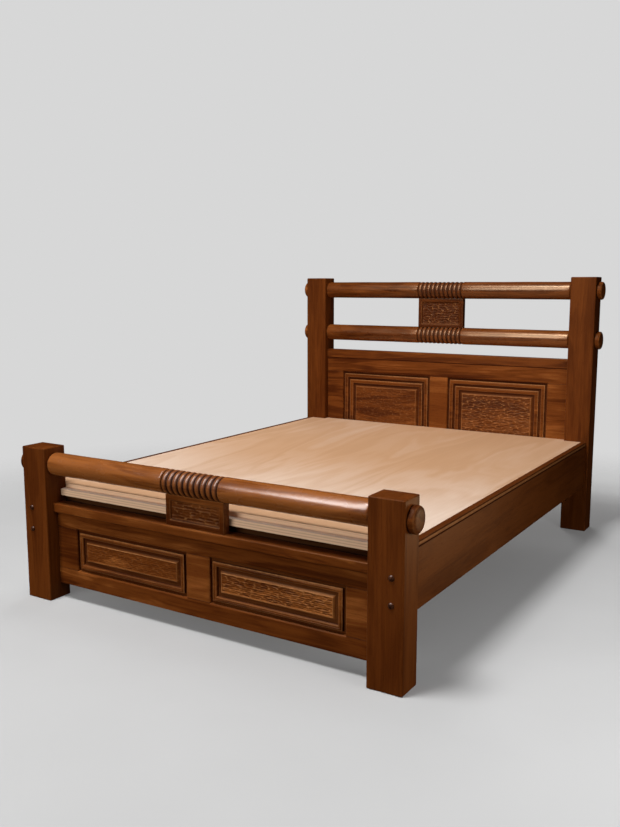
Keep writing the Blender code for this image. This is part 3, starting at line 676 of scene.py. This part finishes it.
def carved_form(low, high, profile, seed, floor_path, roof_path, carving, strength, surround=None):
    """A carved face looking towards the foot, closed below, above and behind.

    Low and high are its (x, z) corners, and profile gives (distance in from its edges, y, mark). The
    carving fills what lies inside the profile. The paths give (y, z) from the face's lower and upper edges
    to the back. Strength is how strongly the gouges' painted shade and highlights show. Surround is a
    wider rectangle (low, high) level with the face's edge.
    """
    middle = [(a + b) / 2 for a, b in zip(low, high)]
    half = [(b - a) / 2 for a, b in zip(low, high)]
    rim, heights, rim_marks = zip(*profile)
    across, up = (lines_across(h, rim, step) for h, step in zip(half, CARVING_STEP))
    inward = np.minimum((half[0] - np.abs(across))[:, None], (half[1] - np.abs(up))[None, :])
    depths = np.interp(inward, rim, heights)
    fade = np.clip((inward - rim[-1]) / CARVING_FADE, 0, 1)
    cut = gouged(across, up, seed, **carving) * fade
    # Painted shade in the gouges' hollows and painted highlights on the crests between them
    gouge_painted_light = (cut / carving["depth"] - HALF_CUT) * strength
    marks = np.where(inward > rim[-1], gouge_painted_light, np.interp(inward, rim, rim_marks))
    form = bmesh.new()
    stain = form.verts.layers.float.new(STAIN_AND_PAINTED_LIGHT_MARK)
    grid = []
    for u, ys, column_marks in zip(across, depths + cut, marks):
        grid.append([form.verts.new((middle[0] + u, y, middle[1] + v)) for v, y in zip(up, ys)])
        for vert, mark in zip(grid[-1], column_marks):
            vert[stain] = mark
    for left, right in zip(grid, grid[1:]):
        for k in range(len(up) - 1):
            form.faces.new((left[k], right[k], right[k + 1], left[k + 1]))
    edges = [[column[0] for column in grid], grid[-1],
             [column[-1] for column in reversed(grid)], list(reversed(grid[0]))]
    if surround:
        (x0, z0), (x1, z1) = surround
        outer = [form.verts.new((x, heights[0], z)) for x, z in ((x0, z0), (x1, z0), (x1, z1), (x0, z1))]
        for vert in outer:
            vert[stain] = rim_marks[0]
        for n, edge in enumerate(edges):
            form.faces.new([outer[n], outer[(n + 1) % 4], *reversed(edge)])
        edges = [[outer[n], outer[(n + 1) % 4]] for n in range(4)]
    close_behind(form, edges, floor_path, roof_path)
    return form


# Turned pieces

TURNING_WAVER = 0.0005            # how far a round rail's plain lengths waver
TURNING_WAVES = 23                # radians of that a metre


def axis_of(node):
    """The y and z of the line that a turned piece was turned on."""
    low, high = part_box(node)
    return (low.y + high.y) / 2, (low.z + high.z) / 2


def bead_profile(bead_end, valley):
    """The beads at the middle of a round rail, from their left end to their right."""
    beads = []
    for step in range(BEAD_COUNT * BEAD_STEPS + 1):
        off_crest = step / BEAD_STEPS % 1 - 0.5
        swell = math.sqrt(max(0, 1 - (off_crest / BEAD_SHARE) ** 2))
        # Painted shade darkens the valleys between beads
        mark = VALLEY_SHADE_MARK + (CREST_MARK - VALLEY_SHADE_MARK) * swell ** 2
        beads.append((-bead_end + step * BEAD_PITCH / BEAD_STEPS, valley + BEAD_DEPTH * swell, mark))
    return beads


def round_rail(node, number, tone, lacquer):
    """A turned rail with beads at its middle, and tenons that pass through both posts."""
    y, z = axis_of(node)
    bead_end = BEAD_COUNT * BEAD_PITCH / 2
    valley = RAIL_RADIUS - BEAD_DEPTH
    plain_start = SHOULDER_ROUNDING - SHOULDER_X
    plain_end = -bead_end - BEAD_DEPTH
    rounding = arc((plain_start, RAIL_RADIUS - SHOULDER_ROUNDING), SHOULDER_ROUNDING, 180, 90)
    plain = [(x, RAIL_RADIUS - TURNING_WAVER * (0.5 + 0.5 * math.sin(TURNING_WAVES * x + number)), 0)
             for x in np.linspace(plain_start, plain_end, PLAIN_STEPS + 1)[1:-1]]
    lip = arc((plain_end, valley), BEAD_DEPTH, 90, 0)
    tenon_end = -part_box(node)[1].x
    # Painted shade at the shoulders and tenons, where the rail meets its posts
    left = [(tenon_end, TENON_RADIUS, 0), (-SHOULDER_X, TENON_RADIUS, VALLEY_SHADE_MARK),
            *marked(rounding, (SHOULDER_SHADE_MARK, 0)), *plain, *marked(lip, (0, CREST_MARK, VALLEY_SHADE_MARK))]
    right = [(-x, radius, mark) for x, radius, mark in reversed(left)]
    beads = bead_profile(bead_end, valley)[1:-1]
    form = turned_form(left + beads + right, (0, y, z), (1, 0, 0), TURNED_SIDES)
    finish = stained(f"{node}_stain", "X", number, tone, lacquer=lacquer)
    piece("turned", node, form, finish)


def knob(node, side, number, tone):
    """A turned knob over a tenon's end, with a domed face."""
    low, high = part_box(node)
    y, z = axis_of(node)
    radius = (high.z - low.z) / 2
    seat = low.x if side > 0 else high.x
    heel = KNOB_ROUNDING / 2
    rim = high.x - low.x - KNOB_DOME
    face = radius - KNOB_ROUNDING
    dome = [(rim + KNOB_DOME * math.cos(a), face * math.sin(a), 0)
            for a in np.linspace(KNOB_DOME_START, math.pi / 2, ARC_STEPS)]
    front = arc((rim - KNOB_ROUNDING, face), KNOB_ROUNDING, 0, 90)[1:]
    back = arc((heel, radius - heel), heel, 90, 180)
    # Painted shade at the knob's back, where it meets its post
    profile = [*dome, *marked(front, (0, KNOB_RIM_MARK, 0)), *marked(back, (0, VALLEY_SHADE_MARK)),
               (0, TENON_RADIUS, VALLEY_SHADE_MARK)]
    form = turned_form(profile, (seat, y, z), (side, 0, 0), TURNED_SIDES)
    finish = stained(f"{node}_stain", "X", number, tone, lacquer=DULL)
    piece("turned", node, form, finish)


def bolt(node, direction, number):
    """A bed bolt with a domed head against the outside of a post."""
    low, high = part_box(node)
    tip = low.y if direction < 0 else high.y
    centre = ((low.x + high.x) / 2, tip - direction * BOLT_HEAD_HEIGHT, (low.z + high.z) / 2)
    radius = (high.z - low.z) / 2
    shank = high.y - low.y - BOLT_HEAD_HEIGHT
    dome = [(BOLT_HEAD_HEIGHT * math.sin(a), radius * math.cos(a), 0)
            for a in np.linspace(0, BOLT_DOME_END, ARC_STEPS)]
    profile = [(-shank, BOLT_RADIUS, 0), (0, BOLT_RADIUS, 0), *dome]
    form = turned_form(profile, centre, (0, direction, 0), BOLT_SIDES)
    piece("turned", node, form, dark_steel(f"{node}_steel", number))


# Carved and moulded pieces

# A field's bevel from its foot up: shares of its width and rise, and marks, with painted shade at its foot
# and a painted highlight on its arris
BEVEL_SHAPE = ((0, 0, FLAT_SHADE_MARK), (0.25, 0.26, FLAT_SHADE_MARK / 2), (0.5, 0.52, 0),
               (0.8125, 0.86, ARRIS_HIGHLIGHT_MARK / 2), (1, 1, ARRIS_HIGHLIGHT_MARK))

# A block's face from its edge to its field: distances in and back, and marks, with painted highlights on
# its edges and painted shade in its recess
BLOCK_SHAPE = ((0, BLOCK_EDGE, BLOCK_ARRIS_HIGHLIGHT_MARK / 2), (0.0006, 0.0005, BLOCK_ARRIS_HIGHLIGHT_MARK), (0.0020, 0, 0),
               (BLOCK_BORDER - 0.0010, 0, 0), (BLOCK_BORDER, 0.0004, BLOCK_ARRIS_HIGHLIGHT_MARK),
               (BLOCK_BORDER + BLOCK_BEVEL / 2, BLOCK_RECESS * 0.55, 0),
               (BLOCK_BORDER + BLOCK_BEVEL, BLOCK_RECESS, FLAT_SHADE_MARK))


def carved_panel(end, word, number, tone):
    """A panel with a raised, bevelled field covered in gouge strokes."""
    node = f"{end}_panel_{word}"
    low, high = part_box(node)
    inset = GROOVE_LAP + PANEL_MARGINS[end]
    flat = high.y - PANEL_THICKNESS
    profile = [(FIELD_BEVEL * inward, flat - FIELD_RISE * rise, mark)
               for inward, rise, mark in BEVEL_SHAPE]
    form = carved_form((low.x + inset, low.z + inset), (high.x - inset, high.z - inset), profile, number,
                       [(high.y, low.z)], [(high.y, high.z)], CARVING[node], GOUGE_SHADE_AND_HIGHLIGHT_STRENGTH[word],
                       surround=((low.x, low.z), (high.x, high.z)))
    piece("carved", node, form, stained(f"{node}_stain", "X", number, tone))


def coped(rail, ys, direction):
    """A block's end that fits against a round rail, as (y, z) points on the rail's upper or lower side."""
    y0, z0 = axis_of(rail)
    reach = RAIL_RADIUS + FIT
    return [(y, z0 + direction * math.sqrt(reach ** 2 - (y - y0) ** 2)) for y in ys]


def carved_block(node, under, over, number, tone):
    """A block with a gouged field inside a raised border, coped to the round rails that it meets."""
    low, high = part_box(node)
    profile = [(inward, low.y + drop, mark) for inward, drop, mark in BLOCK_SHAPE]
    ys = np.linspace(low.y + BLOCK_EDGE, high.y, ARC_STEPS + 1)
    roof = coped(over, ys, -1)
    if under == "foot_cap":
        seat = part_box(under)[1].z + FIT
        floor = [(ys[0], seat), (ys[-1], seat)]
    else:
        floor = coped(under, ys, 1)
    form = carved_form((low.x, floor[0][1]), (high.x, roof[0][1]), profile, number, floor[1:], roof[1:],
                       CARVING[node], GOUGE_SHADE_AND_HIGHLIGHT_STRENGTH["block"])
    piece("carved", node, form, stained(f"{node}_stain", "X", number, tone))


def moulding(node, band, number, tone):
    """A mitred moulding, rounded across and over its edges, planted on a panel, with painted highlights on
    its arrises and painted shade in the quirks at its feet.
    """
    low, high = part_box(node)
    sharp = MOULDING_ARRIS
    blunt = edge = high.y - low.y - MOULDING_CROWN
    flat = band - sharp - blunt
    crown = [(sharp + flat * share, edge + MOULDING_CROWN * math.sin(math.pi * share), 0)
             for share in np.linspace(0, 1, CROWN_STEPS + 1)[1:-1]]
    outer = marked(arc((sharp, edge - sharp), sharp, 180, 90), OUTER_HIGHLIGHT_AND_SHADE_MARKS)
    inner = marked(arc((band - blunt, edge - blunt), blunt, 90, 0)[:-1], INNER_HIGHLIGHT_AND_SHADE_MARKS)
    profile = [(0, 0, FLAT_SHADE_MARK), *outer, *crown, *inner, (band, 0, FLAT_SHADE_MARK)]
    form = mitred_ring((low.x, low.z), (high.x, high.z), high.y, profile)
    piece("moulded", node, form, stained(f"{node}_stain", "X", number, tone))


# Solids that keep their shape

OPENING_FADE = 0.002
# Dark stain along frame joints, and painted shade under the caps and in the side rails' quirks
JOINT_STAIN_AND_SHADE = 0.85
# Painted shade in a line under a cap: half its dark core, and its reach
CAP_JOINT = (0.0008, 0.0030)      # a line of gathered stain: half its dark core, and its reach
FRAME_JOINT = (0.0008, 0.0020)
FRAME_JOINT_SHARE = 0.5
# Painted shade in the quirks beside a side rail's reed and on the rail's top, and a painted highlight
# along the reed's crown
REED_UPPER_QUIRK = (0.0012, 0.0030)
REED_LOWER_QUIRK = (0.0016, 0.0036)
REED_CROWN = (0.0030, 0.0065)
REED_HIGHLIGHT = 0.45
RAIL_TOP = (0.0, 0.001)
RAIL_TOP_SHADE = 0.38


def refinish(node, material):
    """Give a solid its finish."""
    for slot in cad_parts[node].material_slots:
        slot.material = material


def restain(node, along, number, tone, **settings):
    """Give a solid its stain."""
    refinish(node, stained(f"{node}_stain", along, number, tone, **settings))


def beside_openings(end, axis):
    """Where a frame's pieces have an opening beside them, seen along X or Z, and not another piece."""
    low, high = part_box(f"{end}_panel_right")
    first, last = (low.x, high.x) if axis == "X" else (low.z, high.z)
    first += GROOVE_LAP
    last -= GROOVE_LAP

    def mask(finish):
        at = finish.along(axis).size()
        return at.between(first, first + OPENING_FADE) * (1.0 - at.between(last - OPENING_FADE, last))
    return mask


def joint_lines(end):
    """A painted shade line under a framed end's cap, and dark stain along the joints where stiles and
    muntin meet rails.
    """
    cap_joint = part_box(f"{end}_cap")[0].z
    low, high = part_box(f"{end}_panel_right")

    def pooled(finish):
        height = finish.along("Z")
        line = height.near(cap_joint, *CAP_JOINT)
        for joint in (low.z + GROOVE_LAP, high.z - GROOVE_LAP):
            butted = 1.0 - beside_openings(end, "X")(finish)
            line = line + height.near(joint, *FRAME_JOINT) * butted * FRAME_JOINT_SHARE
        return line * JOINT_STAIN_AND_SHADE
    return pooled


def below_rail_top(finish):
    """How far a point is below the side rails' top edges."""
    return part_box("side_rail_left")[1].z - finish.along("Z")


def beside_reed(finish):
    """Painted shade in the quirks on both sides of a side rail's reed, and on the rail's top."""
    drop = below_rail_top(finish)
    line = drop.near(REED_DROP, *REED_UPPER_QUIRK)
    line = line + drop.near(REED_DROP + REED_WIDTH, *REED_LOWER_QUIRK)
    return line * JOINT_STAIN_AND_SHADE + (1.0 - drop.between(*RAIL_TOP)) * RAIL_TOP_SHADE


def along_reed(finish):
    """A painted highlight along the crown of a side rail's reed."""
    return below_rail_top(finish).near(REED_DROP + REED_WIDTH / 2, *REED_CROWN) * REED_HIGHLIGHT


# The bed

# Tones of the stain, from 0, dark, to 1, golden
ROUND_RAILS = (("foot_round_rail", 0.92, POLISHED), ("head_lower_round_rail", 0.54, WAXED),
               ("head_upper_round_rail", 0.40, WAXED))
# The foot knobs are toned darker as painted shade
KNOB_TONES = {"foot": 0.16, "head": 0.55}
PANEL_TONES = {"foot": {"left": 0.63, "right": 0.78}, "head": {"left": 0.36, "right": 0.49}}
# The foot's left stile is toned darker as painted shade from the left post
STILE_TONES = {"foot": {"left": 0.26, "right": 0.54}, "head": {"left": 0.28, "right": 0.54}}
MOULDING_TONES = {"foot": 0.45, "head": 0.36}
MUNTIN_TONES = {"foot": 0.62, "head": 0.61}
FRAME_RAIL_TONES = {"foot": 0.42, "head": 0.34}
BLOCK_TONES = {"foot": 0.36, "head": 0.06}
POST_TONE = 0.29
SIDE_RAIL_TONE = 0.38

# How lively the figure is
CALM = 0.4
QUIET = 0.6
LIVELY = 1.1

# Numbers of the pieces' places in the wood, and seeds of the carving: the first of each kind
KNOB_CUT = 10
PANEL_CUTS = {"foot": 21, "head": 25}
MOULDING_CUTS = {"foot_moulding": 31, "head_outer_moulding": 35, "head_inner_moulding": 39}
BLOCK_CUTS = {"foot": 45, "head": 46}
POST_CUT = 51
STILE_CUT = 61
SIDE_RAIL_CUT = 71
LEDGER_CUT = 75
MUNTIN_CUT = 81
CAP_CUT = 85
FRAME_RAIL_CUTS = {"top_rail": 87, "bottom_rail": 89}
BEARER_CUT = 91
BOARD_CUT = 3
BASE_CUT = 4
BEARERS = range(1, 5)


def end_of(node):
    """The end of the bed that a node's name starts with."""
    return node.split("_")[0]


for number, (node, tone, lacquer) in enumerate(ROUND_RAILS, 1):
    round_rail(node, number, tone, lacquer)
    for word, side in SIDES.items():
        knob(node.replace("round_rail", f"knob_{word}"), side, KNOB_CUT + number + len(ROUND_RAILS) * side,
             KNOB_TONES[end_of(node)])

for word, side in SIDES.items():
    for end, cut in PANEL_CUTS.items():
        carved_panel(end, word, cut + side, PANEL_TONES[end][word])
    for kind, cut in MOULDING_CUTS.items():
        end = end_of(kind)
        moulding(f"{kind}_{word}", MOULDING_BANDS[end], cut + side, MOULDING_TONES[end])
    for end, direction in ENDS.items():
        place = 2 * side + direction
        for level in ("low", "high"):
            bolt(f"bolt_{end}_{word}_{level}", direction, 3 * side + direction)
        refinish(f"nut_plate_{end}_{word}", dark_steel(f"nut_plate_{end}_{word}_steel", side + direction))
        restain(f"{end}_post_{word}", "Z", POST_CUT + place, POST_TONE, figured=CALM, lacquer=DULL)
        restain(f"{end}_stile_{word}", "X", STILE_CUT + place, STILE_TONES[end][word], lacquer=DULL,
                pooled=joint_lines(end), free_edges=beside_openings(end, "Z"))
    restain(f"side_rail_{word}", "Y", SIDE_RAIL_CUT + side, SIDE_RAIL_TONE, figured=CALM, lacquer=DULL,
            pooled=beside_reed, rubbed=along_reed)
    refinish(f"ledger_{word}", sawn_softwood(f"ledger_{word}_softwood", "Y", LEDGER_CUT + side))

for number, end in enumerate(ENDS):
    tone = FRAME_RAIL_TONES[end]
    restain(f"{end}_muntin", "X", MUNTIN_CUT + number, MUNTIN_TONES[end], figured=QUIET, lacquer=DULL,
            pooled=joint_lines(end), free_edges=beside_openings(end, "Z"))
    restain(f"{end}_cap", "X", CAP_CUT + number, tone, pooled=joint_lines(end))
    for part, cut in FRAME_RAIL_CUTS.items():
        restain(f"{end}_{part}", "X", cut + number, tone, figured=LIVELY, lacquer=DULL,
                pooled=joint_lines(end), free_edges=beside_openings(end, "X"))

carved_block("foot_block", "foot_cap", "foot_round_rail", BLOCK_CUTS["foot"], BLOCK_TONES["foot"])
carved_block("head_block", "head_lower_round_rail", "head_upper_round_rail", BLOCK_CUTS["head"],
             BLOCK_TONES["head"])
for number in BEARERS:
    refinish(f"bearer_{number}", sawn_softwood(f"bearer_{number}_softwood", "X", BEARER_CUT + number))
refinish("deck_board", plywood("deck_board_plywood", BOARD_CUT, ply_lines=0.25, rail_shadow_share=1.0))
refinish("deck_base", plywood("deck_base_plywood", BASE_CUT, ply_lines=0.6, rail_shadow_share=0.0))


# Studio

BACKDROP_GREY = (0.680, 0.680, 0.680)
BACKDROP_RADIUS = 40.0
AIR_GREY = (0.07, 0.07, 0.07)
FLOOR_GREYS = ((0.470, 0.470, 0.470), (0.495, 0.495, 0.495))
MOTTLE_COUNTS = (3.0, 3.0, 3.0)
FLOOR_RADIUS = 12.0
FLOOR_FADE = (1.5, 3.3)
FLOOR_LIFT = 0.18


def stage_object(name, form, material):
    """Put a form into the scene that isn't part of the bed."""
    made = mesh_object(name, form, material)
    return made


def backdrop():
    """A pale dome that only the camera sees, so that the bed reflects the softboxes alone."""
    finish = Finish("backdrop_paper")
    glow = finish.node("ShaderNodeEmission", {}, {"Color": (*BACKDROP_GREY, 1.0), "Strength": 1.0})
    finish.node("ShaderNodeOutputMaterial", {}, {"Surface": glow})
    form = bmesh.new()
    bmesh.ops.create_uvsphere(form, u_segments=48, v_segments=24, radius=BACKDROP_RADIUS)
    dome = stage_object("backdrop", form, finish.material)
    dome.visible_diffuse = False
    dome.visible_glossy = False
    dome.visible_shadow = False
    dome.visible_transmission = False


def floor():
    """A pale floor that fades into the backdrop."""
    finish = Finish("pale_floor")
    radius = finish.vector("LENGTH", finish.place(), out="Value")
    colour = finish.mix(finish.noise(finish.place(), MOTTLE_COUNTS, detail=3.0), *FLOOR_GREYS)
    matt = finish.surface(base_color=colour, roughness=1.0, specular_ior_level=0.0, emission_color=colour,
                          emission_strength=FLOOR_LIFT, alpha=1.0 - radius.between(*FLOOR_FADE))
    form = bmesh.new()
    bmesh.ops.create_circle(form, cap_ends=True, segments=96, radius=FLOOR_RADIUS)
    ground = stage_object("floor", form, matt)
    ground.visible_glossy = False
    ground.visible_diffuse = False


def softbox(name, place, aim, width, height, power, turn=0.0, diffuse=True, glossy=True,
            colour=(1.0, 1.0, 1.0)):
    """A rectangular light that the camera doesn't see, turned in its own plane by so many degrees."""
    light = bpy.data.lights.new(name, "AREA")
    light.shape = "RECTANGLE"
    light.size = width
    light.size_y = height
    light.energy = power
    light.color = colour
    lamp = bpy.data.objects.new(name, light)
    lamp.location = place
    facing = (Vector(aim) - Vector(place)).to_track_quat("-Z", "Y")
    lamp.rotation_euler = (facing @ Quaternion((0, 0, 1), math.radians(turn))).to_euler()
    lamp.visible_camera = False
    lamp.visible_diffuse = diffuse
    lamp.visible_glossy = glossy
    bpy.context.scene.collection.objects.link(lamp)


def softboxes():
    softbox("key_softbox", place=(-0.5, -2.2, 5.6), aim=(0.0, -0.3, 0.3), width=1.4, height=1.4, power=260)
    softbox("sheen_softbox", place=(-0.80, -2.9, 2.85), aim=(0.5, -1.0, 0.53), width=0.9, height=2.2,
            power=116, diffuse=False)
    softbox("top_softbox", place=(-0.35, 0.3, 2.9), aim=(-0.35, 0.3, 0.4), width=0.8, height=2.0, power=18,
            turn=-27, glossy=False)
    softbox("front_softbox", place=(-1.2, -4.6, 1.0), aim=(0.0, -1.0, 0.45), width=2.0, height=1.0,
            power=66, glossy=False)
    softbox("side_softbox", place=(2.6, -1.1, 0.85), aim=(0.8, -0.8, 0.3), width=1.0, height=1.0, power=19,
            glossy=False)
    softbox("rim_softbox", place=(1.9, 0.45, 0.25), aim=(0.8, -0.95, 0.3), width=0.5, height=0.4, power=9,
            diffuse=False, colour=(1.0, 0.72, 0.42))
    softbox("back_softbox", place=(-2.4, 4.6, 1.5), aim=(-0.2, 0.6, 0.5), width=2.4, height=1.6, power=110,
            glossy=False)


def studio_air():
    """A faint even light from all around, which nothing mirrors."""
    world = bpy.data.worlds.new("studio_air")
    world.use_nodes = True
    world.node_tree.nodes["Background"].inputs["Color"].default_value = (*AIR_GREY, 1.0)
    bpy.context.scene.world = world
    world.cycles_visibility.glossy = False


IMAGE_HEIGHT = 827
FOCAL_PIXELS = 862.9
SENSOR = 36.0
CAMERA_PLACE = (1.8234, -3.214, 1.190)
CAMERA_DIP = 8.44                 # degrees below level
CAMERA_TURN = 31.93               # degrees from +Y towards -X


def photograph_camera():
    """The camera at the photograph's place and angle."""
    camera = bpy.data.cameras.new("camera")
    camera.sensor_width = SENSOR
    camera.lens = FOCAL_PIXELS * SENSOR / IMAGE_HEIGHT
    stand = bpy.data.objects.new("camera", camera)
    stand.location = CAMERA_PLACE
    stand.rotation_euler = (math.radians(90 - CAMERA_DIP), 0, math.radians(CAMERA_TURN))
    bpy.context.scene.collection.objects.link(stand)
    bpy.context.scene.camera = stand


backdrop()
floor()
softboxes()
studio_air()
photograph_camera()
bpy.context.scene.view_settings.view_transform = "Standard"
